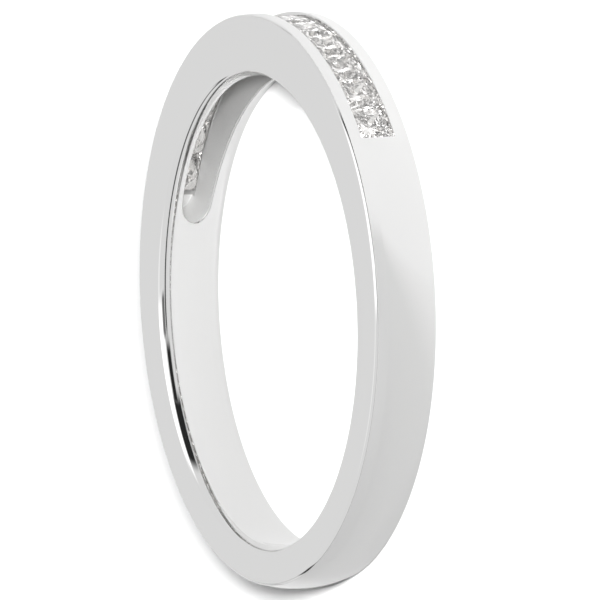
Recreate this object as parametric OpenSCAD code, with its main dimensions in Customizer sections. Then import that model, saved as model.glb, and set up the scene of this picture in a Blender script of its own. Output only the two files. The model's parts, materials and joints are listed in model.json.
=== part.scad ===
// Channel set band: a polished ring with a row of square cut stones held between two walls.
// Millimetres. The ring lies on its side. The origin is the centre of the finger hole, the
// hole's axis is Z, and the head with the stones points to +Y.

/* [Finger hole] */
// Diameter of the finger hole
bore_d = 17.3; // [16:0.1:20]
// How far each rounded inner edge reaches in along the axis
comfort_w = 0.5; // [0.3:0.05:0.7]
// How much each rounded inner edge opens the hole at the side face
comfort_h = 0.1; // [0.05:0.01:0.2]

/* [Band] */
// Width of the band along the finger
band_w = 2.45; // [2.3:0.05:3]
// Thickness of the band opposite the stones
shank_t = 1.6; // [1.3:0.05:1.9]
// Thickness of the band under the middle of the row of stones
head_t = 2.3; // [2.15:0.05:2.7]
// How much lower the outside is at its edges than in the middle of its width
dome_h = 0.12; // [0.05:0.01:0.25]
// Size of the broken outer edges
edge_break = 0.1; // [0.05:0.01:0.15]

/* [Stones] */
// Number of stones in the row
stone_count = 14; // [8:1:17]
// Width of each square stone at its girdle
stone_w = 1.55; // [1.4:0.01:1.65]
// Width of each stone's table
table_w = 1.08; // [0.95:0.01:1.15]
// Height of each stone's crown
crown_t = 0.17; // [0.12:0.01:0.2]
// Thickness of each stone's girdle
girdle_t = 0.05; // [0.03:0.01:0.08]
// Depth of each stone's pavilion, from girdle to point
pavilion_t = 0.84; // [0.75:0.01:0.95]
// Gap between neighbouring stones at the girdle
stone_gap = 0.02; // [0.015:0.005:0.05]

/* [Setting] */
// How far each wall laps over a stone's edge
side_lap = 0.11; // [0.06:0.01:0.15]
// How far the metal laps over the last stone at each end of the row
end_lap = 0.13; // [0.06:0.01:0.2]
// How far the tables sit below the outside of the band
table_drop = 0.14; // [0.1:0.01:0.2]
// Clearance between the stones and the metal
seat_gap = 0.03; // [0.02:0.005:0.04]
// Size of the broken edges along the channel's rim
rim_break = 0.03; // [0.02:0.01:0.05]

/* [Slot] */
// Width of the open slot inside the ring, under the stones
slot_w = 1.03; // [0.8:0.01:1.1]
// How far the slot runs past the row at each end
slot_past = 0.5; // [0.2:0.05:0.8]

/* [Hidden] */
$fn = 180;
comfort_steps = 6;
dome_steps = 6;

// The outside is a domed disc, centred nearer the head than the finger hole is.
bore_r = bore_d / 2;
outer_r = (bore_d + shank_t + head_t) / 2;
head_offset = (head_t - shank_t) / 2;
dome_r = ((band_w / 2) ^ 2 + dome_h ^ 2) / (2 * dome_h);
function outside_r(height) = outer_r - dome_r + sqrt(dome_r ^ 2 - height ^ 2);

// The stones' levels, as distances from the outside's own axis.
table_r = outer_r - table_drop;
crown_base_r = table_r - crown_t;
girdle_r = crown_base_r - girdle_t;
culet_r = girdle_r - pavilion_t;

// Neighbouring stones almost touch at the lower edges of their girdles.
half_stone = stone_w / 2;
half_table = table_w / 2;
pitch_angle = 2 * atan((half_stone + stone_gap / 2) / girdle_r);
row_half_angle = stone_count * pitch_angle / 2;

// The chevrons of the pavilion, as shares of the pavilion's depth and of the stone's half width:
// where the folds between them cross the middle of each side.
CHEVRON_FOLDS = [
    // depth, half width
    [0.34, 0.82],
    [0.54, 0.63],
    [0.76, 0.35]
];

// The corners of the table, as shares of its half width.
TABLE_CORNER_LONG = 0.70;
TABLE_CORNER_IN = [0.955, 0.80];

// The seat follows the pavilion down to the slot.
fold_depth = CHEVRON_FOLDS[0][0] * pavilion_t;
fold_half = CHEVRON_FOLDS[0][1] * half_stone;
slot_share = (slot_w / 2 - seat_gap) / half_stone;
seat_share = lookup(slot_share, [for (i = [len(CHEVRON_FOLDS) - 1 : -1 : 0])
    [CHEVRON_FOLDS[i][1], CHEVRON_FOLDS[i][0]]]);
seat_r = girdle_r - seat_share * pavilion_t;
slot_roof_r = girdle_r - fold_depth;

// A straight stone's corners lie farther out than its middle.
corner_rise = sqrt(crown_base_r ^ 2 + half_stone ^ 2) - crown_base_r;
lip_half = half_stone - side_lap;
lip_r = crown_base_r + side_lap * crown_t / (half_stone - half_table) + corner_rise + seat_gap;
rim_r = outside_r(lip_half);
overlap = 0.05;
outside = 0.5;

function arc_angle(length, radius) = length / radius * 180 / PI;
groove_half_angle = row_half_angle + arc_angle(seat_gap, girdle_r);
opening_half_angle = row_half_angle - arc_angle(end_lap, girdle_r);

// The slot's ends are set out from the centre of the finger hole.
row_end = [girdle_r * sin(row_half_angle), head_offset + girdle_r * cos(row_half_angle)];
slot_end_angle = atan2(row_end.x, row_end.y) + arc_angle(slot_past - slot_w / 2, bore_r);

function stone_name(i) = str("stone_", i < 10 ? "0" : "", i);

metal_color = [0.85, 0.85, 0.86];
stone_color = [0.93, 0.95, 0.97];

// A profile of radius and height, turned about Z through half_angle to each side of +Y.
module turned_sector(profile, half_angle) {
    rotate([0, 0, 90 - half_angle])
        rotate_extrude(angle = 2 * half_angle)
            polygon(profile);
}

// A list of radius and height points, followed by its mirror image below the middle plane.
function both_sides(points) = concat(
    points,
    [for (i = [len(points) - 1 : -1 : 0]) [points[i].x, -points[i].y]]
);

// The ring before any cut: a slightly domed disc with broken edges.
module blank() {
    half_w = band_w / 2;
    dome = [for (i = [0 : dome_steps]) (half_w - edge_break) * i / dome_steps];
    translate([0, head_offset, 0])
        rotate_extrude()
            polygon(both_sides(concat(
                [for (height = dome) [outside_r(height), height]],
                [[outside_r(half_w) - edge_break, half_w], [0, half_w]]
            )));
}

// The rounded inner edge: its arc starts level with the hole's wall, comfort_w in from the side.
comfort_r = (comfort_w ^ 2 + comfort_h ^ 2) / (2 * comfort_h);
comfort_turn = asin(comfort_w / comfort_r);
function comfort_point(angle) = [
    bore_r + comfort_r * (1 - cos(angle)),
    band_w / 2 - comfort_w + comfort_r * sin(angle)
];

module finger_hole() {
    edge = [for (i = [0 : comfort_steps]) comfort_point(comfort_turn * i / comfort_steps)];
    rotate_extrude()
        polygon(both_sides(concat(
            [[bore_r, 0]],
            edge,
            [[bore_r + comfort_h, band_w / 2 + outside], [0, band_w / 2 + outside]]
        )));
}

// The visible channel between the two walls, with its rims broken.
module channel_opening() {
    translate([0, head_offset, 0])
        turned_sector(both_sides([
            [lip_r - overlap, lip_half],
            [rim_r - rim_break, lip_half],
            [rim_r + outside, lip_half + rim_break + outside]
        ]), opening_half_angle);
}

// The groove that holds the girdles, and the seat that narrows under them.
module stone_groove() {
    groove_half = half_stone + seat_gap;
    translate([0, head_offset, 0])
        turned_sector(both_sides([
            [lip_r, lip_half],
            [crown_base_r + corner_rise + seat_gap, groove_half],
            [girdle_r - seat_gap, groove_half],
            [girdle_r - fold_depth - seat_gap, fold_half + seat_gap],
            [seat_r - seat_gap, slot_w / 2]
        ]), groove_half_angle);
}

// The long round ended slot under the row, open to the finger hole.
module slot() {
    intersection() {
        union() {
            turned_sector(both_sides([[bore_r - outside, slot_w / 2], [outer_r + head_offset, slot_w / 2]]),
                slot_end_angle);
            for (side = [-1, 1])
                rotate([0, 0, side * slot_end_angle])
                    translate([0, bore_r - outside, 0])
                        rotate([-90, 0, 0])
                            cylinder(d = slot_w, h = outer_r);
        }
        translate([0, head_offset, -slot_w])
            cylinder(r = slot_roof_r, h = 2 * slot_w);
    }
}

module band() {
    color(metal_color)
        difference() {
            blank();
            finger_hole();
            channel_opening();
            stone_groove();
            slot();
        }
}

// A princess cut stone on its own: girdle's lower edge on z = 0, table up, sides along X and Y.
// The points of one side are turned round to make the other three.
function quarter_turn(p, side) = [
    p.x * cos(90 * side) - p.y * sin(90 * side),
    p.x * sin(90 * side) + p.y * cos(90 * side),
    p.z
];

// The points that belong to one side of the stone, by their place in the list.
GIRDLE_LOW = 0;
GIRDLE_HIGH = 1;
TABLE = [2, 3, 4, 5];
FOLD = 6;
SIDE_POINTS = concat(
    [
        [half_stone, -half_stone, 0],
        [half_stone, -half_stone, girdle_t],
        [half_table * TABLE_CORNER_IN.x, -half_table * TABLE_CORNER_IN.y, girdle_t + crown_t],
        [half_table, -half_table * TABLE_CORNER_LONG, girdle_t + crown_t],
        [half_table, half_table * TABLE_CORNER_LONG, girdle_t + crown_t],
        [half_table * TABLE_CORNER_IN.x, half_table * TABLE_CORNER_IN.y, girdle_t + crown_t]
    ],
    [for (fold = CHEVRON_FOLDS) [fold[1] * half_stone, 0, -fold[0] * pavilion_t]]
);
SIDES = [0 : 3];
SIDE_SIZE = len(SIDE_POINTS);
LAST_FOLD = FOLD + len(CHEVRON_FOLDS) - 1;
CULET = 4 * SIDE_SIZE;

// The number that one of a side's points has in the whole stone's list.
function at(side, point) = (side % 4) * SIDE_SIZE + point;

module princess_cut() {
    points = concat(
        [for (s = SIDES) for (p = SIDE_POINTS) quarter_turn(p, s)],
        [[0, 0, -pavilion_t]]
    );
    table = [[for (s = [3 : -1 : 0]) for (k = [3 : -1 : 0]) at(s, TABLE[k])]];
    crown = [for (s = SIDES) each [
        [at(s, GIRDLE_HIGH), at(s, TABLE[1]), at(s, TABLE[2]), at(s + 1, GIRDLE_HIGH)],
        [at(s, GIRDLE_HIGH), at(s, TABLE[0]), at(s, TABLE[1])],
        [at(s + 1, GIRDLE_HIGH), at(s, TABLE[2]), at(s, TABLE[3])],
        [at(s + 1, GIRDLE_HIGH), at(s, TABLE[3]), at(s + 1, TABLE[0])]
    ]];
    girdle = [for (s = SIDES)
        [at(s, GIRDLE_LOW), at(s, GIRDLE_HIGH), at(s + 1, GIRDLE_HIGH), at(s + 1, GIRDLE_LOW)]];
    under_girdle = [for (s = SIDES) [at(s, GIRDLE_LOW), at(s + 1, GIRDLE_LOW), at(s, FOLD)]];
    chevrons = [for (s = SIDES) for (k = [FOLD : LAST_FOLD - 1]) each [
        [at(s, GIRDLE_LOW), at(s, k), at(s, k + 1)],
        [at(s + 1, GIRDLE_LOW), at(s, k + 1), at(s, k)]
    ]];
    point_facets = [for (s = SIDES) each [
        [at(s, GIRDLE_LOW), at(s, LAST_FOLD), CULET],
        [at(s + 1, GIRDLE_LOW), CULET, at(s, LAST_FOLD)]
    ]];
    polyhedron(points, concat(table, crown, girdle, under_girdle, chevrons, point_facets));
}

// Stone number i of the row, counted from the -X end.
module stone(i) {
    angle = (i - (stone_count + 1) / 2) * pitch_angle;
    color(stone_color)
        translate([0, head_offset, 0])
            rotate([0, 0, -angle])
                translate([0, girdle_r, 0])
                    rotate([-90, 0, 0])
                        princess_cut();
}

band();
for (i = [1 : stone_count])
    stone(i);
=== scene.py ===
# %% [markdown]
# # A channel set band
# The object is a narrow finger ring of polished white gold. Fourteen square stones stand side by side
# in a channel cut into its head, and two thin walls of metal hold them by their edges. Inside the ring
# a long slot runs under the row, so that light reaches the stones from below.
#
# The imported model gives every size and place. It is loaded first, and its box is kept.

# %% The frame
import json
import math
import bmesh
import bpy
from mathutils import Matrix, Vector


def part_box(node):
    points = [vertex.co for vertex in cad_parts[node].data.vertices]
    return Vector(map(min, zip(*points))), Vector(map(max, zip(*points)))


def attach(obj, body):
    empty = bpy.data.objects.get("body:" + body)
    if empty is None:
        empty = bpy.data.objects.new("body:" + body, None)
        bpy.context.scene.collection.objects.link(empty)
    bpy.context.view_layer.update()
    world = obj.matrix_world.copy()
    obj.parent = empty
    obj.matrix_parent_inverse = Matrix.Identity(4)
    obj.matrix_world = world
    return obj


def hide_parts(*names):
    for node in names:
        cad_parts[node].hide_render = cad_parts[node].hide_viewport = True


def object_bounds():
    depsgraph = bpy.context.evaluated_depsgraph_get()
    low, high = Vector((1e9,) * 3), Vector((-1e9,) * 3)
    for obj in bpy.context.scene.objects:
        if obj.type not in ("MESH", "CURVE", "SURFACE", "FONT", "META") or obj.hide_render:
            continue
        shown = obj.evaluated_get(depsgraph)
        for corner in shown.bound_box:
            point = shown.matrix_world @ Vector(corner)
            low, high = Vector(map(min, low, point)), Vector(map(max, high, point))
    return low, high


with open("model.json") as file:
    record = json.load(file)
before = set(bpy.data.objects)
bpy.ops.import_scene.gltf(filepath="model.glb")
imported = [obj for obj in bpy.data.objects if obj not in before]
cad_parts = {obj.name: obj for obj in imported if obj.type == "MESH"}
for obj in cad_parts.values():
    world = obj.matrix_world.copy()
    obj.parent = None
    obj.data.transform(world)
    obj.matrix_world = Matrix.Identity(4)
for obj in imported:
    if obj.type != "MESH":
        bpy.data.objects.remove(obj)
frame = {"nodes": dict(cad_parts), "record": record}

cad_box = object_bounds()
print("CAD box in mm:", [[round(c * 1000, 3) for c in corner] for corner in cad_box])

# %% [markdown]
# ## Working a thousand times too big
# A ring's broken edges are a few hundredths of a millimetre wide. Blender's bevel, boolean and merge
# tools round such lengths away when one unit is a metre. So each piece is modelled with one unit to
# the millimetre, and shrunk to its real size when it is finished. The sizes below come from the frame,
# and are all in millimetres.

# %% Sizes read from the frame
TO_METRES = 0.001


def box_in_mm(node):
    low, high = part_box(node)
    return low / TO_METRES, high / TO_METRES


band_low, band_high = box_in_mm("band")
stone_names = sorted(name for name in frame["nodes"] if name.startswith("stone_"))
bore_r = frame["record"]["mounts"][0]["dims"]["r_mm"]
half_width = band_high.z
outer_r = band_high.x
head_offset = outer_r + band_low.y
print("bore", bore_r, "outside", round(outer_r, 3), "head offset", round(head_offset, 3),
      "half width", round(half_width, 3), "stones", len(stone_names))

# %% [markdown]
# ## Small tools
# An operator acts on everything that is selected, and the frame's nodes are still selected after
# loading. So each piece starts with nothing selected. In edit mode the faces, edges or points to
# work on are chosen by a test of their place.

# %% Helpers for selecting and for edit mode


def deselect():
    if bpy.context.object and bpy.context.object.mode != "OBJECT":
        bpy.ops.object.mode_set(mode="OBJECT")
    bpy.ops.object.select_all(action="DESELECT")


def only(obj):
    deselect()
    obj.select_set(True)
    bpy.context.view_layer.objects.active = obj
    return obj


def edit(obj):
    only(obj)
    bpy.ops.object.mode_set(mode="EDIT")
    bpy.ops.mesh.select_all(action="SELECT")


def leave_edit():
    bpy.ops.object.mode_set(mode="OBJECT")


def pick(kind, test):
    """Selects the points, edges or faces of the mesh in edit mode that pass the test."""
    bpy.ops.mesh.select_mode(type={"verts": "VERT", "edges": "EDGE", "faces": "FACE"}[kind])
    bpy.ops.mesh.select_all(action="DESELECT")
    mesh = bmesh.from_edit_mesh(bpy.context.object.data)
    found = [part for part in getattr(mesh, kind) if test(part)]
    for part in found:
        part.select_set(True)
    mesh.select_flush_mode()
    bmesh.update_edit_mesh(bpy.context.object.data)
    return len(found)


def clean(obj, merge=0.0002):
    """Merges doubled points and turns every face outwards."""
    edit(obj)
    bpy.ops.mesh.remove_doubles(threshold=merge)
    bpy.ops.mesh.normals_make_consistent(inside=False)
    leave_edit()


def finish_modifier(obj, kind, **settings):
    """Adds a modifier and applies it."""
    only(obj)
    modifier = obj.modifiers.new(kind.lower(), kind)
    for name, value in settings.items():
        setattr(modifier, name, value)
    bpy.ops.object.modifier_apply(modifier=modifier.name)


# %% [markdown]
# ## The camera and the floor
# The ring lies on its side on a pale table. The photograph looks at it from about 24 degrees above
# its side face, with a long lens from nearly a metre away, and the picture is turned so that the head
# points up. The camera is built from those angles, and moved a little in its own plane so that
# the ring sits where it does in the picture. The floor is one large plane. It lies a hair below the
# ring, because two faces in the same plane flicker when they are rendered.

# %% The camera
CAMERA_AZIMUTH = math.radians(-4.10)
CAMERA_ELEVATION = math.radians(24.38)
CAMERA_ROLL = math.radians(-92.97)
CAMERA_DISTANCE = 0.876
PIXELS_PER_METRE = 27244
PICTURE_WIDTH = 600
RING_CENTRE_IN_PICTURE = Vector((287.3, 310.0))
SENSOR_WIDTH = 36

back = Vector((
    math.cos(CAMERA_ELEVATION) * math.cos(CAMERA_AZIMUTH),
    math.cos(CAMERA_ELEVATION) * math.sin(CAMERA_AZIMUTH),
    math.sin(CAMERA_ELEVATION),
))
level_turn = back.to_track_quat("Z", "Y").to_matrix()
camera_turn = level_turn @ Matrix.Rotation(CAMERA_ROLL, 3, "Z")
right, up = camera_turn.col[0], camera_turn.col[1]
aside = (PICTURE_WIDTH / 2 - RING_CENTRE_IN_PICTURE.x) / PIXELS_PER_METRE
above = (RING_CENTRE_IN_PICTURE.y - PICTURE_WIDTH / 2) / PIXELS_PER_METRE

bpy.ops.object.camera_add()
camera = bpy.context.object
camera.name = "camera"
camera.location = back * CAMERA_DISTANCE + right * aside + up * above
camera.rotation_euler = camera_turn.to_euler()
camera.data.sensor_width = SENSOR_WIDTH
camera.data.lens = SENSOR_WIDTH * PIXELS_PER_METRE * CAMERA_DISTANCE / PICTURE_WIDTH
camera.data.clip_start = 0.01
camera.data.clip_end = 10
bpy.context.scene.camera = camera
print("camera at", [round(c, 4) for c in camera.location], "up", [round(c, 3) for c in up])

# %% The floor
FLOOR_SIZE = 6
HAIR = 0.000003

deselect()
bpy.ops.mesh.primitive_plane_add(size=FLOOR_SIZE, location=(0, 0, cad_box[0][2] - HAIR))
floor = bpy.context.object
floor.name = "floor"

# %% [markdown]
# ## The studio
# Polished metal has no colour of its own: it shows the room. Jewellery is photographed in a white tent.
# Real cards and cloths could be modelled round the ring, but here the tent is drawn in the world's
# nodes, where a soft edge is one smooth step. These helpers build nodes, also for the materials below.

# %% Node helpers


def link(tree, source, target):
    tree.links.new(source, target)


def math_node(tree, operation, first, second=None, third=None):
    node = tree.nodes.new("ShaderNodeMath")
    node.operation = operation
    for socket, value in zip(node.inputs, (first, second, third)):
        if value is None:
            continue
        if isinstance(value, (int, float)):
            socket.default_value = value
        else:
            link(tree, value, socket)
    return node.outputs[0]


def smooth_step(tree, value, start, end, low=0.0, high=1.0):
    node = tree.nodes.new("ShaderNodeMapRange")
    node.interpolation_type = "SMOOTHSTEP"
    link(tree, value, node.inputs["Value"])
    node.inputs["From Min"].default_value = start
    node.inputs["From Max"].default_value = end
    node.inputs["To Min"].default_value = low
    node.inputs["To Max"].default_value = high
    return node.outputs["Result"]


# %% [markdown]
# A place in the tent is a direction round the ring, from +X towards +Y, and a height above the table,
# both in degrees. Each mask is one inside its part of the tent and nothing outside it.

# %% Masks in the tent
world = bpy.data.worlds.new("tent")
bpy.context.scene.world = world
world.use_nodes = True
sky = world.node_tree
sky.nodes.clear()
axes = sky.nodes.new("ShaderNodeSeparateXYZ")
link(sky, sky.nodes.new("ShaderNodeTexCoord").outputs["Generated"], axes.inputs[0])
height = axes.outputs["Z"]
turn_round = math_node(sky, "ARCTAN2", axes.outputs["Y"], axes.outputs["X"])


def sector(start, end, soft):
    """A range of directions round the ring."""
    start, end, soft = (math.radians(v) for v in (start, end, soft))
    rise = smooth_step(sky, turn_round, start - soft, start + soft)
    fall = smooth_step(sky, turn_round, end + soft, end - soft)
    return math_node(sky, "MULTIPLY", rise, fall)


def up_to(angle, soft):
    """All that is lower than an angle."""
    low, high = (math.sin(math.radians(angle + sign * soft)) for sign in (-1, 1))
    return smooth_step(sky, height, high, low)


def between(low, high, soft):
    """A range of heights above the table."""
    return math_node(sky, "SUBTRACT", up_to(high, soft), up_to(low, soft))


def together(first, *others):
    """Masks or lights multiplied with each other."""
    for other in others:
        first = math_node(sky, "MULTIPLY", first, other)
    return first


def without(mask, share):
    """The light that is left where a mask takes a share of it away."""
    return math_node(sky, "MULTIPLY_ADD", mask, -share, 1.0)


# %% [markdown]
# The walls are an even pale grey, which the flat side face mirrors. A bright card hangs on the side of
# the ring that the camera sees, and the roof is a little brighter than the walls. The dark parts matter
# as much: a rounded edge shows as a thin dark line only where it mirrors something dark. A window and
# a doorway draw the line on the outer edge, a gap between the wall's panels draws the one on the comfort
# edge, and the lens looks in through a hole.

# %% The tent's parts
TENT_GREY = 0.78
CARD_LIGHT = 0.55
ROOF_LIGHT = 0.18
ROOF_START, ROOF_END = 50, 60
OPENING_DARK = 0.97
GAP_DARK = 0.92
LENS_DARK = 0.80

card = together(sector(-12, 84, soft=8), between(25, 78, soft=3))
window = together(sector(8, 40, soft=5), between(6, 20, soft=1.5))
doorway = together(sector(34, 72, soft=5), up_to(23, soft=1.5))
gap = together(sector(-170, 4, soft=6), between(9.5, 14.5, soft=1.0))
lens_hole = together(sector(-15, 6, soft=3), between(17, 31, soft=2))

opening = math_node(sky, "MAXIMUM", window, doorway)
walls = math_node(sky, "MULTIPLY_ADD", card, CARD_LIGHT, TENT_GREY)
roof = smooth_step(sky, height, math.sin(math.radians(ROOF_START)), math.sin(math.radians(ROOF_END)),
                   0.0, ROOF_LIGHT)
tent = together(math_node(sky, "ADD", walls, roof), without(opening, OPENING_DARK),
                without(gap, GAP_DARK), without(lens_hole, LENS_DARK))
print("tent", TENT_GREY, "with a card of", TENT_GREY + CARD_LIGHT)

# %% [markdown]
# Only polished metal and the stones see the tent at its full strength. For light that has met the matt
# table it is weaker, so that the lamp's shadow stays clear. The camera sees plain white behind the ring,
# because the photograph's background was cleared. Light goes on a long way inside a cut stone, and the
# usual number of bounces would leave the stones dark.

# %% The tent's light
MATT_SHARE = 0.23
STONE_BOUNCES = 32
METAL_BOUNCES = 16

rays = sky.nodes.new("ShaderNodeLightPath")
met_matt = math_node(sky, "MINIMUM", rays.outputs["Diffuse Depth"], 1.0)
strength = together(tent, without(met_matt, 1.0 - MATT_SHARE))
background = sky.nodes.new("ShaderNodeBackground")
background.inputs["Color"].default_value = (1, 1, 1, 1)
link(sky, math_node(sky, "MAXIMUM", strength, rays.outputs["Is Camera Ray"]), background.inputs["Strength"])
link(sky, background.outputs[0], sky.nodes.new("ShaderNodeOutputWorld").inputs["Surface"])
world.cycles.sampling_method = "NONE"

bpy.context.scene.view_settings.view_transform = "Standard"
bpy.context.scene.cycles.max_bounces = STONE_BOUNCES
bpy.context.scene.cycles.transmission_bounces = STONE_BOUNCES
bpy.context.scene.cycles.glossy_bounces = METAL_BOUNCES

# %% [markdown]
# ## The lamps
# The key is a soft lamp that stands low, on the camera's side. Its shadow falls behind the ring, and only
# a narrow edge of it shows, under the ring's lowest part. The sparkle lamp is like a jeweller's spot: it
# shows in the stones alone. No lamp shows in the metal, where it would be a hard white bar.

# %% Soft lamps
LAMPS = [
    # name, direction towards the lamp, distance, width, height, watts, lights the matt table
    ("key", (0.8985, 0.0235, 0.4384), 0.5, 0.07, 0.09, 6.6, True),
    ("sparkle", (0.35, 0.61, 0.71), 0.5, 0.50, 0.50, 2.6, False),
]


def add_lamp(name, towards, distance, width, height, watts, on_table):
    deselect()
    bpy.ops.object.light_add(type="AREA")
    lamp = bpy.context.object
    lamp.name = name
    lamp.location = Vector(towards).normalized() * distance
    lamp.rotation_euler = lamp.location.to_track_quat("Z", "Y").to_euler()
    lamp.data.shape = "RECTANGLE"
    lamp.data.size = width
    lamp.data.size_y = height
    lamp.data.energy = watts
    lamp.visible_glossy = False
    lamp.visible_diffuse = on_table
    print("lamp", name, watts, "W")


for lamp_row in LAMPS:
    add_lamp(*lamp_row)

# %% [markdown]
# The upright walls of the ring mirror the table close to them, so they are shaded by how light the table
# is there. Narrow spots put pools of light on it, behind the head and inside the finger hole, where the
# ring's own shadow would otherwise make the polished wall look dark.

# %% Pools of light on the table
POOL_DISTANCE = 0.45
POOL_LAMP_SIZE = 0.01
FROM_ABOVE = (0.0, 0.0, 1.0)
POOLS = [
    # name, middle of the pool on the table in mm, radius in mm, softness, direction towards the lamp, watts
    ("head_pool", (10.0, 12.5), 21.0, 1.0, (0.35, 0.45, 0.82), 3.2),
    ("hole_pool", (0.0, 0.2), 9.4, 0.15, FROM_ABOVE, 0.4),
    ("hole_pool_low", (-6.0, -3.4), 3.5, 1.0, FROM_ABOVE, 11.0),
    ("hole_pool_high", (-1.0, 7.0), 4.0, 1.0, FROM_ABOVE, 7.0),
]


def add_pool(name, middle, radius, softness, towards, watts):
    deselect()
    bpy.ops.object.light_add(type="SPOT")
    lamp = bpy.context.object
    lamp.name = name
    away = Vector(towards).normalized() * POOL_DISTANCE
    target = Vector((middle[0] * TO_METRES, middle[1] * TO_METRES, cad_box[0][2]))
    lamp.location = target + away
    lamp.rotation_euler = away.to_track_quat("Z", "Y").to_euler()
    lamp.data.spot_size = 2 * math.atan(radius * TO_METRES / POOL_DISTANCE)
    lamp.data.spot_blend = softness
    lamp.data.shadow_soft_size = POOL_LAMP_SIZE
    lamp.data.energy = watts
    lamp.visible_glossy = False
    lamp.visible_transmission = False
    print("pool", name, watts, "W")


for pool_row in POOLS:
    add_pool(*pool_row)

# %% [markdown]
# ## The band's blank
# A goldsmith turns or casts the ring first, and cuts the channel afterwards. The blank here is drawn
# the same way round: a circle in the middle of the outside is extruded again and again, and each new
# circle is scaled and moved to its place on the section, over the outer edge, down the flat side face,
# round the inner edge and along the finger hole. Every circle has its own centre, so the outside can be
# nearly flat at the head and domed at the back of the ring, as on the real one. Spinning one section
# would be quicker, but would give the same section all the way round.
#
# The rounded edges are given as slopes at a few depths, because the slope decides what a polished edge
# mirrors. The heights between them are added up from the slopes.

# %% The section's sizes
SEGMENTS = 720
HEAD_DOME = 0.03
BACK_DOME = 0.20
OUTER_EDGE = [
    # depth below the side face, slope of the edge towards the outside in degrees
    (0.000, 90),
    (0.006, 52),
    (0.014, 34),
    (0.022, 27),
    (0.072, 18),
    (0.090, 10),
    (0.105, 0),
]
OUTER_FACE_LIP = 0.016
BACK_EDGE_MORE = 1.4
COMFORT_TILTS = [
    # depth below the side face, slope of the edge towards the finger hole in degrees
    (0.000, 90),
    (0.012, 55),
    (0.035, 40),
    (0.070, 32),
    (0.110, 27),
    (0.150, 23.5),
    (0.190, 20.5),
    (0.230, 18),
    (0.280, 15.5),
    (0.340, 13.5),
    (0.400, 12),
    (0.430, 9.5),
    (0.455, 6.5),
    (0.480, 3),
    (0.500, 0),
]
COMFORT_FACE_LIP = 0.010

# %% The section's rows
SUPPORT = 0.012
MIDDLE_ROW = 0.6
RIM_ROWS = (-0.05, 0.05, 0.09)  # beside the channel's rim
BORE_ROW = 0.05

head_top = outer_r + head_offset
back_top = outer_r - head_offset


def profile(tilts, face_lip):
    """Rows of depth below the side face and height above the wall, from a list of slopes."""
    falls = [face_lip]
    for (z0, tilt0), (z1, tilt1) in zip(tilts[1:], tilts[2:]):
        falls.append((z1 - z0) * math.tan(math.radians((tilt0 + tilt1) / 2)))
    heights = [sum(falls[i:]) for i in range(len(falls))] + [0.0]
    return [(z, height) for (z, _), height in zip(tilts, heights)]


def outside_at(z, drop=0.0):
    """The outside's distance from the hole's centre at the head and at the back, at height z."""
    share = (z / half_width) ** 2
    return head_top - HEAD_DOME * share - drop, back_top - BACK_DOME * share - drop * BACK_EDGE_MORE


def half_section(lip_half):
    """Rows of height, distance at the head and distance at the back, from the middle of the outside to
    the middle of the finger hole, over the upper side face."""
    outer = profile(OUTER_EDGE, OUTER_FACE_LIP)
    comfort = profile(COMFORT_TILTS, COMFORT_FACE_LIP)
    heights = [0.0, lip_half * MIDDLE_ROW] + [lip_half + beside for beside in RIM_ROWS]
    heights += [half_width - outer[-1][0] - SUPPORT]
    rows = [(z, *outside_at(z)) for z in heights]
    for depth, drop in reversed(outer):
        rows.append((half_width - depth, *outside_at(half_width - depth, drop)))
    z, head, rear = rows[-1]
    side_inner = bore_r + comfort[0][1]
    rows += [(z, head - SUPPORT, rear - SUPPORT), (z, side_inner + SUPPORT, side_inner + SUPPORT)]
    rows += [(half_width - depth, bore_r + height, bore_r + height) for depth, height in comfort]
    rows += [(half_width - comfort[-1][0] - BORE_ROW, bore_r, bore_r), (0.0, bore_r, bore_r)]
    return rows


# %% [markdown]
# The stones' sizes are needed for the channel. They are measured on the frame's own stones. Seen from the
# outside's axis, each stone stands upright, so the levels of its table, girdle and point, and its width
# along the ring's axis, can be read from the places of its corners.

# %% The stones' sizes
stone_count = len(stone_names)
NEAR = 0.001


def points_round(node):
    """A stone's points as distance from the outside's axis, angle round it and height."""
    rows = []
    for point in frame["nodes"][node].data.vertices:
        x, y = point.co.x / TO_METRES, point.co.y / TO_METRES - head_offset
        rows.append((math.hypot(x, y), math.atan2(x, y), point.co.z / TO_METRES))
    return rows


# The point of a stone, its culet, lies nearest to the axis and shows the stone's place in the row.
stone_turns = {name: min(points_round(name))[1] for name in stone_names}
first, last = stone_names[0], stone_names[-1]
pitch = (stone_turns[last] - stone_turns[first]) / (stone_count - 1)

levels = [(distance * math.cos(angle - stone_turns[first]), z)
          for distance, angle, z in points_round(first)]
culet_r = min(level for level, _ in levels)
table_r = max(level for level, _ in levels)
half_stone = max(z for _, z in levels)
half_table = max(z for level, z in levels if level > table_r - NEAR)
girdle_levels = [level for level, z in levels if z > half_stone - NEAR]
girdle_r, crown_base_r = min(girdle_levels), max(girdle_levels)
print("stone", round(2 * half_stone, 3), "table", round(2 * half_table, 3), "levels",
      [round(v, 3) for v in (culet_r, girdle_r, crown_base_r, table_r)],
      "pitch", round(math.degrees(pitch), 3))

# %% [markdown]
# Now the blank is made, circle by circle, and closed by merging its last circle into its first.

# %% The blank
SIDE_LAP = 0.11
lip_half = half_stone - SIDE_LAP


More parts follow.
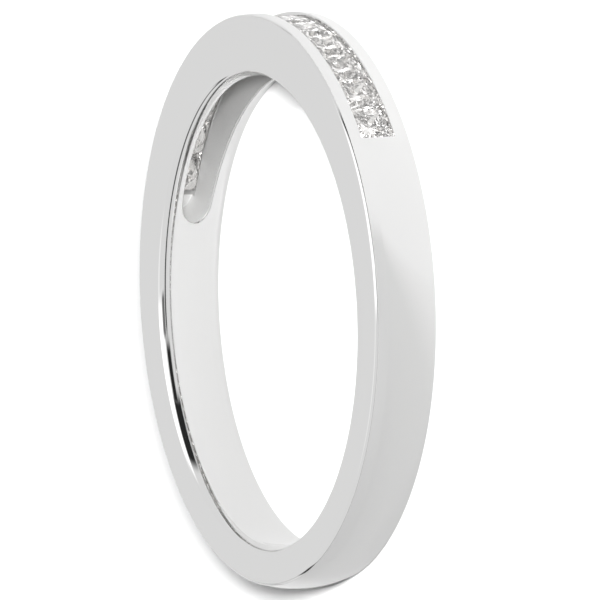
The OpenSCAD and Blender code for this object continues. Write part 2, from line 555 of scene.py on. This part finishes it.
def make_blank():
    upper = half_section(lip_half)
    lower = [(-z, head, rear) for z, head, rear in reversed(upper)]
    rows = upper + lower[1:]
    z, head, rear = rows[0]
    deselect()
    bpy.ops.mesh.primitive_circle_add(vertices=SEGMENTS, radius=(head + rear) / 2)
    blank = bpy.context.object
    blank.name = "ring_band"
    edit(blank)
    bpy.ops.transform.translate(value=(0, (head - rear) / 2, z))
    for (z0, head0, rear0), (z1, head1, rear1) in zip(rows, rows[1:]):
        centre0, centre1 = (head0 - rear0) / 2, (head1 - rear1) / 2
        size = (head1 + rear1) / (head0 + rear0)
        bpy.ops.mesh.extrude_edges_move(
            TRANSFORM_OT_translate={"value": (0, centre1 - centre0, z1 - z0)})
        bpy.ops.transform.resize(value=(size, size, 1), center_override=(0, centre1, z1))
    leave_edit()
    clean(blank)
    return blank


band = make_blank()
print("blank:", len(band.data.vertices), "points,", len(band.data.polygons), "faces")

# %% [markdown]
# ## The channel and the slot
# A setter cuts the channel with small burs, straight down into the blank. Here it is cut with a boolean
# modifier, and the cutter has the shape of the hole. Each cutter is milled flat, as a stack of outlines
# that are extruded and scaled one after another, and is then rolled round the ring with a bend
# modifier. Lengths along the row are true at the radius that the block is rolled to.

# %% Milled cutters
END_STEPS = 8
END_SHARE = 0.01


def flat_block(name, columns, levels, roll_r, round_ends):
    """A stack of outlines. A level is a radius, a half angle or half length along the row, and a half
    width. Round ends are drawn by extruding the end edge in ever narrower steps."""
    radius, half_length, half_across = levels[0]
    deselect()
    bpy.ops.mesh.primitive_grid_add(x_subdivisions=columns, y_subdivisions=1, size=2,
                                    rotation=(math.radians(90), 0, 0))
    block = bpy.context.object
    block.name = name
    bpy.ops.object.transform_apply(location=False, rotation=True, scale=False)
    edit(block)
    straight = half_length - (half_across if round_ends else 0)
    bpy.ops.transform.resize(value=(straight, 1, half_across), center_override=(0, 0, 0))
    bpy.ops.transform.translate(value=(0, radius - roll_r, 0))
    if round_ends:
        for side in (-1, 1):
            pick("edges", lambda e: all(v.co.x * side > straight - NEAR for v in e.verts))
            reach, across = 0.0, half_across
            for i in range(1, END_STEPS + 1):
                turn = math.radians(90) * i / END_STEPS
                new_reach = half_across * math.sin(turn)
                new_across = half_across * max(math.cos(turn), END_SHARE)
                bpy.ops.mesh.extrude_edges_move(
                    TRANSFORM_OT_translate={"value": (side * (new_reach - reach), 0, 0)})
                bpy.ops.transform.resize(value=(1, 1, new_across / across), center_override=(0, 0, 0))
                reach, across = new_reach, new_across
        bpy.ops.mesh.select_all(action="SELECT")
    bpy.ops.mesh.select_mode(type="FACE")
    bpy.ops.mesh.select_all(action="SELECT")
    for (r0, length0, across0), (r1, length1, across1) in zip(levels, levels[1:]):
        bpy.ops.mesh.extrude_region_move(TRANSFORM_OT_translate={"value": (0, r1 - r0, 0)})
        bpy.ops.transform.resize(value=(length1 / length0, 1, across1 / across0),
                                 center_override=(0, 0, 0))
    leave_edit()
    clean(block)
    return block


# %% Widened and rolled cutters
SAME_PLACE = 0.0001


def widen_middle(block, factor, reach):
    """Scales the outline's middle across the row, and less and less towards its ends."""
    edit(block)
    middle = min(abs(v.co.x) for v in block.data.vertices)
    pick("verts", lambda v: abs(v.co.x) < middle + SAME_PLACE)
    bpy.ops.transform.resize(value=(1, 1, factor), center_override=(0, 0, 0), use_proportional_edit=True,
                             proportional_edit_falloff="SPHERE", proportional_size=reach)
    leave_edit()
    print(block.name, "widest half", round(max(v.co.z for v in block.data.vertices), 3))


def roll(block, roll_r, centre_y):
    """Bends the flat block round an axis that lies roll_r below it."""
    length = max(v.co.x for v in block.data.vertices) - min(v.co.x for v in block.data.vertices)
    finish_modifier(block, "SIMPLE_DEFORM", deform_method="BEND", deform_axis="Z",
                    angle=-length / roll_r)
    edit(block)
    bpy.ops.transform.translate(value=(0, roll_r + centre_y, 0))
    leave_edit()
    clean(block)
    radii = [math.hypot(v.co.x, v.co.y - centre_y) for v in block.data.vertices]
    print(block.name, "reaches from", round(min(radii), 3), "to", round(max(radii), 3), "mm")


# %% [markdown]
# The channel's cutter flares at the rim, so that it leaves a softly broken edge. It stands straight
# between the lips that hold the stones down, is wider where the girdles sit, and narrows along the seat.

# %% The channel's cutter
SEAT_GAP = 0.03
END_LAP = 0.07
RIM_R = 0.045
RIM_ANGLES = (66, 44, 22, 0)
SEAT_TOP = 0.286
SEAT_TOP_SHARE = 0.82
SEAT_LOW = 0.46
SEAT_LOW_HALF = 0.47
LAST_LEVEL = (0.1, 0.05, 0.04)  # deeper, shorter and narrower than the seat's lowest level
OUTSIDE = 0.4
COLUMNS = 244

row_half_angle = stone_count * pitch / 2
groove_half = half_stone + SEAT_GAP
groove_length = girdle_r * row_half_angle + SEAT_GAP
opening_length = girdle_r * row_half_angle - END_LAP
corner_rise = math.hypot(crown_base_r, half_stone) - crown_base_r
crown_slope = (table_r - crown_base_r) / (half_stone - half_table)
lip_r = crown_base_r + SIDE_LAP * crown_slope + corner_rise + SEAT_GAP
rim_r = outside_at(lip_half)[0] - head_offset
seat_top_r = girdle_r - SEAT_TOP - SEAT_GAP
seat_low_r = girdle_r - SEAT_LOW - SEAT_GAP
deeper, shorter, narrower = LAST_LEVEL

rim_levels = []
for flare_angle in RIM_ANGLES:
    turn = math.radians(flare_angle)
    flare = RIM_R * (1 - math.cos(turn))
    rim_levels.append((rim_r - RIM_R + RIM_R * math.sin(turn), opening_length + flare, lip_half + flare))
top_r, top_length, top_half = rim_levels[0]
rise = OUTSIDE / math.tan(math.radians(RIM_ANGLES[0]))
channel_levels = [(top_r + rise, top_length + OUTSIDE, top_half + OUTSIDE)] + rim_levels + [
    (lip_r, opening_length, lip_half),
    (crown_base_r + corner_rise + SEAT_GAP, groove_length, groove_half),
    (girdle_r - SEAT_GAP, groove_length, groove_half),
    (seat_top_r, groove_length, SEAT_TOP_SHARE * half_stone + SEAT_GAP),
    (seat_low_r, groove_length, SEAT_LOW_HALF),
    (girdle_r - SEAT_LOW - deeper, groove_length - shorter, SEAT_LOW_HALF - narrower),
]
channel_cutter = flat_block("channel_cutter", COLUMNS, channel_levels, girdle_r, False)
roll(channel_cutter, girdle_r, head_offset)

# %% [markdown]
# The slot is sawn from inside the ring. It has round ends, runs a little past the row, and is wider in
# its middle than at its ends. So the middle of its outline is scaled with proportional editing, which
# carries the points beside it along, less and less towards the ends. Its edge is softly broken too.

# %% The slot's cutter
SLOT_PAST = 0.5
SLOT_END_W = 0.80
SLOT_HEAD_W = 1.40
SLOT_TAPER = 10.3
SLOT_EDGE_R = 0.06
SLOT_EDGE_ANGLES = (66, 55, 44, 33, 22, 11, 0)

row_end = (girdle_r * math.sin(row_half_angle), head_offset + girdle_r * math.cos(row_half_angle))
slot_length = bore_r * math.atan2(*row_end) + SLOT_PAST
slot_roof_r = girdle_r - SEAT_LOW + head_offset
slot_half = SLOT_END_W / 2
slot_rim = []
for flare_angle in SLOT_EDGE_ANGLES:
    turn = math.radians(flare_angle)
    flare = SLOT_EDGE_R * (1 - math.cos(turn))
    level = bore_r + SLOT_EDGE_R - SLOT_EDGE_R * math.sin(turn)
    slot_rim.append((level, slot_length + flare, slot_half + flare))
rim_level, rim_length, rim_half = slot_rim[0]
slot_levels = [(rim_level - rise, rim_length + OUTSIDE, rim_half + OUTSIDE)] + slot_rim + [
    (slot_roof_r, slot_length, slot_half),
]
slot_cutter = flat_block("slot_cutter", COLUMNS, slot_levels, bore_r, True)
widen_middle(slot_cutter, SLOT_HEAD_W / SLOT_END_W, SLOT_TAPER)
roll(slot_cutter, bore_r, 0)

# %% Cut the band


def cut(body, tool):
    finish_modifier(body, "BOOLEAN", operation="DIFFERENCE", solver="EXACT", object=tool)
    bpy.data.objects.remove(tool)


cut(band, channel_cutter)
cut(band, slot_cutter)
clean(band)
edges = {}
for face in band.data.polygons:
    for key in face.edge_keys:
        edges[key] = edges.get(key, 0) + 1
open_edges = sum(1 for faces in edges.values() if faces != 2)
print("band:", len(band.data.polygons), "faces, open edges:", open_edges)

# %% [markdown]
# ## Finishing the band's mesh
# The polished faces flow smoothly into their rounded edges, and stay crisp where the channel and the
# slot were cut. Shading by angle does that, and weighted normals keep the wide flat faces flat.

# %% Shade and shrink the band
CRISP_ANGLE = math.radians(32)


def to_real_size(obj):
    only(obj)
    obj.scale = (TO_METRES,) * 3
    bpy.ops.object.transform_apply(location=True, rotation=True, scale=True)


only(band)
bpy.ops.object.shade_smooth_by_angle(angle=CRISP_ANGLE)
finish_modifier(band, "WEIGHTED_NORMAL", mode="FACE_AREA", weight=50, keep_sharp=True)
to_real_size(band)

# %% [markdown]
# ## One princess cut stone
# A cutter grinds a stone facet by facet, each one a flat plane. The same is done here: a block is
# bisected by one plane after another, and each cut throws away what lies outside it. The planes follow
# from a few points: the girdle's corners, the table's corners and the folds where the pavilion's
# chevrons meet. The stone is made with its table up and its girdle at the origin.

# %% The stone's facets
TABLE_CORNER_LONG = 0.70
TABLE_CORNER_IN = (0.955, 0.80)
CHEVRON_FOLDS = [
    # depth as a share of the pavilion, half width as a share of the stone's
    (0.34, 0.82),
    (0.54, 0.63),
    (0.76, 0.35),
]
girdle_t = crown_base_r - girdle_r
crown_t = table_r - crown_base_r
pavilion_t = girdle_r - culet_r


def quarter(point, side):
    """A point of the first side, turned to another side of the stone."""
    return Matrix.Rotation(math.radians(90) * side, 3, "Z") @ Vector(point)


def side_planes(side):
    """Three points of each facet of one side."""
    low = quarter((half_stone, -half_stone, 0), side)
    low_next = quarter((half_stone, -half_stone, 0), side + 1)
    high = low + Vector((0, 0, girdle_t))
    high_next = low_next + Vector((0, 0, girdle_t))
    level = girdle_t + crown_t
    inner = (half_table * TABLE_CORNER_IN[0], half_table * TABLE_CORNER_IN[1])
    table = [quarter((half_table, sign * half_table * TABLE_CORNER_LONG, level), side) for sign in (-1, 1)]
    near, far = [quarter((inner[0], sign * inner[1], level), side) for sign in (-1, 1)]
    far_next = quarter((inner[0], -inner[1], level), side + 1)
    folds = [quarter((half_stone * out, 0, -pavilion_t * down), side) for down, out in CHEVRON_FOLDS]
    culet = Vector((0, 0, -pavilion_t))
    planes = [
        (high, table[0], table[1]),
        (high, near, table[0]),
        (high_next, table[1], far),
        (high_next, far, far_next),
        (low, low_next, folds[0]),
    ]
    for fold, next_fold in zip(folds, folds[1:] + [culet]):
        planes += [(low, fold, next_fold), (low_next, fold, next_fold)]
    return planes


# %% Cutting a stone


def make_stone():
    deselect()
    bpy.ops.mesh.primitive_cube_add(size=1, scale=(2 * half_stone, 2 * half_stone, 4 * half_stone))
    stone = bpy.context.object
    bpy.ops.object.transform_apply(location=False, rotation=False, scale=True)
    inside = Vector((0, 0, -pavilion_t / 4))
    planes = [(Vector((0, 0, girdle_t + crown_t)), Vector((0, 0, 1)))]
    for side in range(4):
        for a, b, c in side_planes(side):
            normal = (b - a).cross(c - a).normalized()
            outwards = normal.dot(a - inside) > 0
            planes.append((a, normal if outwards else -normal))
    edit(stone)
    for point, normal in planes:
        bpy.ops.mesh.select_all(action="SELECT")
        bpy.ops.mesh.bisect(plane_co=point, plane_no=normal, use_fill=True, clear_outer=True,
                            threshold=SAME_PLACE)
    leave_edit()
    clean(stone)
    return stone


master_stone = make_stone()
print("stone:", len(master_stone.data.polygons), "facets,", len(master_stone.data.vertices), "points")

# %% [markdown]
# ## The row of stones
# Each stone is a copy with its own mesh. It is stood on its girdle's level and turned round
# the axis of the band's outside. No setter gets a row perfectly level, so each stone also leans
# by a fraction of a degree, which makes neighbours glitter differently.

# %% Copy the stones into the channel
LEAN = math.radians(0.5)
LEAN_STEPS = (2.4, 1.7)


def place_stone(name, turn, index):
    stone = master_stone.copy()
    stone.data = master_stone.data.copy()
    bpy.context.scene.collection.objects.link(stone)
    stone.name = "set_" + name
    along, across = LEAN_STEPS
    lean = (Matrix.Rotation(LEAN * math.sin(index * along), 4, "X")
            @ Matrix.Rotation(LEAN * math.cos(index * across), 4, "Y"))
    stand = Matrix.Rotation(math.radians(-90), 4, "X")
    stone.matrix_world = (Matrix.Translation((0, head_offset, 0)) @ Matrix.Rotation(-turn, 4, "Z")
                          @ Matrix.Translation((0, girdle_r, 0)) @ stand @ lean)
    only(stone)
    bpy.ops.object.transform_apply(location=True, rotation=True, scale=True)
    to_real_size(stone)
    return stone


stones = {name: place_stone(name, stone_turns[name], i) for i, name in enumerate(stone_names)}
bpy.data.objects.remove(master_stone)
print("row of", len(stones), "stones")

# %% [markdown]
# ## Materials
# A finish is made from a few noises, mixed in a node group that gives a roughness and a height. The
# shader itself stays in the material. Every pattern reads the piece's own coordinates, so it stays on
# the surface from whatever side it is seen. The scales are in patterns to the metre.

# %% Material helpers


def new_material(name):
    material = bpy.data.materials.new(name)
    material.use_nodes = True
    tree = material.node_tree
    tree.nodes.clear()
    shader = tree.nodes.new("ShaderNodeBsdfPrincipled")
    output = tree.nodes.new("ShaderNodeOutputMaterial")
    link(tree, shader.outputs[0], output.inputs["Surface"])
    return material, tree, shader


def new_group(name, outputs):
    """A node group that takes a position in metres and gives the named numbers."""
    group = bpy.data.node_groups.new(name, "ShaderNodeTree")
    group.interface.new_socket("Position", in_out="INPUT", socket_type="NodeSocketVector")
    for output in outputs:
        group.interface.new_socket(output, in_out="OUTPUT", socket_type="NodeSocketFloat")
    position = group.nodes.new("NodeGroupInput").outputs["Position"]
    return group, position, group.nodes.new("NodeGroupOutput")


def use_group(tree, group):
    node = tree.nodes.new("ShaderNodeGroup")
    node.node_tree = group
    link(tree, tree.nodes.new("ShaderNodeTexCoord").outputs["Object"], node.inputs["Position"])
    return node


def noise(tree, position, scale, detail=2.0):
    node = tree.nodes.new("ShaderNodeTexNoise")
    node.inputs["Scale"].default_value = scale
    node.inputs["Detail"].default_value = detail
    link(tree, position, node.inputs["Vector"])
    return node.outputs["Fac"]


def bump(tree, shader, height, distance):
    node = tree.nodes.new("ShaderNodeBump")
    node.inputs["Strength"].default_value = 1.0
    node.inputs["Distance"].default_value = distance
    link(tree, height, node.inputs["Height"])
    link(tree, node.outputs["Normal"], shader.inputs["Normal"])


# %% Lines that run round the ring
ROUND_STEPS = 5


def round_the_ring(tree, position, lines):
    """A position in which a noise becomes fine lines that run round the finger hole."""
    parts = tree.nodes.new("ShaderNodeSeparateXYZ")
    link(tree, position, parts.inputs[0])
    x, y, z = (parts.outputs[axis] for axis in "XYZ")
    squares = math_node(tree, "MULTIPLY_ADD", x, x, math_node(tree, "MULTIPLY", y, y))
    distance = math_node(tree, "SQRT", squares)
    angle = math_node(tree, "ARCTAN2", y, x)
    joined = tree.nodes.new("ShaderNodeCombineXYZ")
    link(tree, math_node(tree, "MULTIPLY", distance, lines), joined.inputs["X"])
    link(tree, math_node(tree, "MULTIPLY", z, lines), joined.inputs["Y"])
    link(tree, math_node(tree, "MULTIPLY", angle, ROUND_STEPS), joined.inputs["Z"])
    return joined.outputs[0]


# %% [markdown]
# Polished white gold is a pale metal with hardly any colour. Even a mirror polish is not perfect: fine
# polishing lines run round the ring, the surface is a little uneven, which bends the reflections, and
# handling leaves faint clouds in the gloss.

# %% The polish
POLISH_LINES = 14000
POLISH_WAVES = 420
POLISH_CLOUDS = 900
ROUGH_LEAST, ROUGH_CLOUDS, ROUGH_LINES = 0.018, 0.035, 0.02
LINE_HEIGHT, WAVE_HEIGHT = 0.08, 4.0
POLISH_DEPTH = 0.000001
WHITE_GOLD = (0.862, 0.861, 0.858, 1)

polish_group, position, polish_out = new_group("polish", ["Roughness", "Height"])
lines = noise(polish_group, round_the_ring(polish_group, position, POLISH_LINES), 1.0)
waves = noise(polish_group, position, POLISH_WAVES, 1.0)
clouds = noise(polish_group, position, POLISH_CLOUDS, 4.0)
rough = math_node(polish_group, "MULTIPLY_ADD", clouds, ROUGH_CLOUDS, ROUGH_LEAST)
rough = math_node(polish_group, "MULTIPLY_ADD", lines, ROUGH_LINES, rough)
rise_and_fall = math_node(polish_group, "MULTIPLY", waves, WAVE_HEIGHT)
rise_and_fall = math_node(polish_group, "MULTIPLY_ADD", lines, LINE_HEIGHT, rise_and_fall)
link(polish_group, rough, polish_out.inputs["Roughness"])
link(polish_group, rise_and_fall, polish_out.inputs["Height"])

polished, polished_tree, polished_shader = new_material("polished_white_gold")
polished_shader.inputs["Base Color"].default_value = WHITE_GOLD
polished_shader.inputs["Metallic"].default_value = 1
polish_node = use_group(polished_tree, polish_group)
link(polished_tree, polish_node.outputs["Roughness"], polished_shader.inputs["Roughness"])
bump(polished_tree, polished_shader, polish_node.outputs["Height"], POLISH_DEPTH)
band.data.materials.append(polished)
print("polish: lines", POLISH_LINES, "waves", POLISH_WAVES)

# %% [markdown]
# The inside of the slot and the seat can't be reached by a polishing wheel. They keep the fine grain
# that is left by casting and by a small burr, so they scatter light and look pale grey. Their colour is
# also painted a little greyer towards the head, as painted shade deep in the slot.

# %% The satin
GRAIN = 16000
SCRATCHES = 5200
SATIN_ROUGH, GRAIN_ROUGH = 0.5, 0.25
SCRATCH_HEIGHT = 1.4
GRAIN_SHADE = 0.5
PAINTED_SHADE_START, PAINTED_SHADE_END = 0.003, 0.0095
SATIN_DEPTH = 0.000002
SATIN_METALLIC = 0.75
SATIN_PALE = (0.86, 0.86, 0.855, 1)
SATIN_PAINTED_SHADE_GREY = (0.62, 0.62, 0.615, 1)

satin_group, position, satin_out = new_group("satin", ["Roughness", "Height", "Shade"])
grain = noise(satin_group, position, GRAIN, 3.0)
scratches = noise(satin_group, round_the_ring(satin_group, position, SCRATCHES), 1.0)
axes_of = satin_group.nodes.new("ShaderNodeSeparateXYZ")
link(satin_group, position, axes_of.inputs[0])
# Painted shade: the satin's colour turns grey towards the head, deep in the slot.
painted_shade_towards_head = smooth_step(satin_group, axes_of.outputs["Y"], PAINTED_SHADE_START, PAINTED_SHADE_END)
rough = math_node(satin_group, "MULTIPLY_ADD", grain, GRAIN_ROUGH, SATIN_ROUGH)
rise_and_fall = math_node(satin_group, "MULTIPLY_ADD", scratches, SCRATCH_HEIGHT, grain)
grain_and_painted_shade = math_node(satin_group, "MULTIPLY_ADD", grain, -GRAIN_SHADE, painted_shade_towards_head)
link(satin_group, rough, satin_out.inputs["Roughness"])
link(satin_group, rise_and_fall, satin_out.inputs["Height"])
link(satin_group, grain_and_painted_shade, satin_out.inputs["Shade"])

satin, satin_tree, satin_shader = new_material("satin_white_gold")
satin_shader.inputs["Metallic"].default_value = SATIN_METALLIC
satin_node = use_group(satin_tree, satin_group)
# This mix paints the grain's random tone and that shade into the base colour.
grain_and_shade_mix = satin_tree.nodes.new("ShaderNodeMix")
grain_and_shade_mix.data_type = "RGBA"
grain_and_shade_mix.inputs["A"].default_value = SATIN_PALE
grain_and_shade_mix.inputs["B"].default_value = SATIN_PAINTED_SHADE_GREY
link(satin_tree, satin_node.outputs["Shade"], grain_and_shade_mix.inputs["Factor"])
link(satin_tree, grain_and_shade_mix.outputs["Result"], satin_shader.inputs["Base Color"])
link(satin_tree, satin_node.outputs["Roughness"], satin_shader.inputs["Roughness"])
bump(satin_tree, satin_shader, satin_node.outputs["Height"], SATIN_DEPTH)
band.data.materials.append(satin)

# %% Give the satin to the inside of the cuts
BESIDE_GROOVE = 0.01
ABOVE_CROWN = 0.05


def inside_the_cut(face):
    """True for the walls of the slot and of the seat under the stones."""
    centre = face.calc_center_median() / TO_METRES
    from_bore = math.hypot(centre.x, centre.y)
    from_outside = math.hypot(centre.x, centre.y - head_offset)
    return (abs(centre.z) < groove_half + BESIDE_GROOVE and from_bore > bore_r + SLOT_EDGE_R + NEAR
            and from_outside < crown_base_r + ABOVE_CROWN and centre.y > 0)


edit(band)
satin_faces = pick("faces", inside_the_cut)
band.active_material_index = 1
bpy.ops.object.material_slot_assign()
leave_edit()
print("satin faces:", satin_faces)

# %% [markdown]
# A diamond is clear, with the highest polish there is. Small natural specks and the last traces of
# the polishing wheel keep each facet from being a perfect mirror, and a trace of warm colour sets it off
# from the white metal.

# %% Diamond
SPECKS = 5200
SPECK_HEIGHT = 3.0
SPECK_START, SPECK_END = 0.60, 0.70
WHEEL_LINES = 26000
WHEEL_ROUGH = 0.012
DIAMOND_DEPTH = 0.0000001
DIAMOND_IOR = 2.42
CLEAR_TINT = (1.0, 0.984, 0.968, 1)
SPECK_TINT = (0.66, 0.61, 0.56, 1)

diamond_group, position, diamond_out = new_group("diamond_specks", ["Roughness", "Height", "Speck"])
speck_noise = noise(diamond_group, position, SPECKS, 3.0)
wheel = noise(diamond_group, position, WHEEL_LINES, 1.0)
rough = math_node(diamond_group, "MULTIPLY", wheel, WHEEL_ROUGH)
rise_and_fall = math_node(diamond_group, "MULTIPLY_ADD", speck_noise, SPECK_HEIGHT, wheel)
speck = smooth_step(diamond_group, speck_noise, SPECK_START, SPECK_END)
link(diamond_group, rough, diamond_out.inputs["Roughness"])
link(diamond_group, rise_and_fall, diamond_out.inputs["Height"])
link(diamond_group, speck, diamond_out.inputs["Speck"])

diamond_material, diamond_tree, diamond_shader = new_material("diamond")
diamond_shader.inputs["IOR"].default_value = DIAMOND_IOR
diamond_shader.inputs["Transmission Weight"].default_value = 1
diamond_node = use_group(diamond_tree, diamond_group)
body = diamond_tree.nodes.new("ShaderNodeMix")
body.data_type = "RGBA"
body.inputs["A"].default_value = CLEAR_TINT
body.inputs["B"].default_value = SPECK_TINT
link(diamond_tree, diamond_node.outputs["Speck"], body.inputs["Factor"])
link(diamond_tree, body.outputs["Result"], diamond_shader.inputs["Base Color"])
link(diamond_tree, diamond_node.outputs["Roughness"], diamond_shader.inputs["Roughness"])
bump(diamond_tree, diamond_shader, diamond_node.outputs["Height"], DIAMOND_DEPTH)
for stone in stones.values():
    stone.data.materials.append(diamond_material)
print("diamond: specks", SPECKS, "wheel lines", WHEEL_LINES)

# %% [markdown]
# The table is matt pale card. Its colour is painted greyer beside the lower part of the ring than beside
# its head: painted shade, with a soft slanting border, and the polished outside mirrors that border. The
# camera sees the card brighter than the ring does, because the photograph's background was cleared to
# pure white.

# %% Floor
# Greys of the card's painted shade beside the lower part of the ring and of its lit side.
FLOOR_PAINTED_SHADE = 0.475
FLOOR_PAINTED_LIGHT = 0.575
FLOOR_SEEN = 0.90
SHADE_BORDER_SLANT = (-0.59, 0.81)
SHADE_BORDER_START, SHADE_BORDER_END = -0.0095, -0.0060
CARD_FIBRES = 2600
CARD_ROUGH, FIBRE_ROUGH, FIBRE_SHADE = 0.62, 0.2, 0.05
CARD_DEPTH = 0.000004
CARD_GLOSS = 0.2

floor_group, position, floor_out = new_group("matt_card", ["Roughness", "Height", "Behind"])
fibres = noise(floor_group, position, CARD_FIBRES, 4.0)
along = floor_group.nodes.new("ShaderNodeSeparateXYZ")
link(floor_group, position, along.inputs[0])
across = math_node(floor_group, "MULTIPLY", along.outputs["Y"], SHADE_BORDER_SLANT[1])
across = math_node(floor_group, "MULTIPLY_ADD", along.outputs["X"], SHADE_BORDER_SLANT[0], across)
# Painted shade: the card turns greyer towards the lower part of the ring, across a soft slanting border.
behind = smooth_step(floor_group, across, SHADE_BORDER_START, SHADE_BORDER_END)
behind = math_node(floor_group, "MULTIPLY_ADD", fibres, FIBRE_SHADE, behind)
rough = math_node(floor_group, "MULTIPLY_ADD", fibres, FIBRE_ROUGH, CARD_ROUGH)
link(floor_group, rough, floor_out.inputs["Roughness"])
link(floor_group, fibres, floor_out.inputs["Height"])
link(floor_group, behind, floor_out.inputs["Behind"])

floor_material, floor_tree, floor_shader = new_material("pale_table")
floor_shader.inputs["Specular IOR Level"].default_value = CARD_GLOSS
floor_node = use_group(floor_tree, floor_group)
# This mix paints that shade into the card's colour.
shade = floor_tree.nodes.new("ShaderNodeMix")
shade.data_type = "RGBA"
shade.inputs["A"].default_value = (FLOOR_PAINTED_SHADE, FLOOR_PAINTED_SHADE, FLOOR_PAINTED_SHADE, 1)
shade.inputs["B"].default_value = (FLOOR_PAINTED_LIGHT, FLOOR_PAINTED_LIGHT, FLOOR_PAINTED_LIGHT, 1)
link(floor_tree, floor_node.outputs["Behind"], shade.inputs["Factor"])
white = floor_tree.nodes.new("ShaderNodeMix")
white.data_type = "RGBA"
white.inputs["B"].default_value = (FLOOR_SEEN, FLOOR_SEEN, FLOOR_SEEN, 1)
link(floor_tree, shade.outputs["Result"], white.inputs["A"])
link(floor_tree, floor_tree.nodes.new("ShaderNodeLightPath").outputs["Is Camera Ray"],
     white.inputs["Factor"])
link(floor_tree, white.outputs["Result"], floor_shader.inputs["Base Color"])
link(floor_tree, floor_node.outputs["Roughness"], floor_shader.inputs["Roughness"])
bump(floor_tree, floor_shader, floor_node.outputs["Height"], CARD_DEPTH)
floor.data.materials.append(floor_material)
print("card: fibres", CARD_FIBRES, "grey", FLOOR_PAINTED_SHADE, "to", FLOOR_PAINTED_LIGHT)

# %% [markdown]
# ## The pieces on their body
# Each piece is tied to the body that carries it, and the frame's solid that it stands for is hidden.

# %% Tie the pieces to the frame
BODY = "root"
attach(band, BODY)
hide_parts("band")
for name, stone in stones.items():
    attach(stone, BODY)
    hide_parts(name)
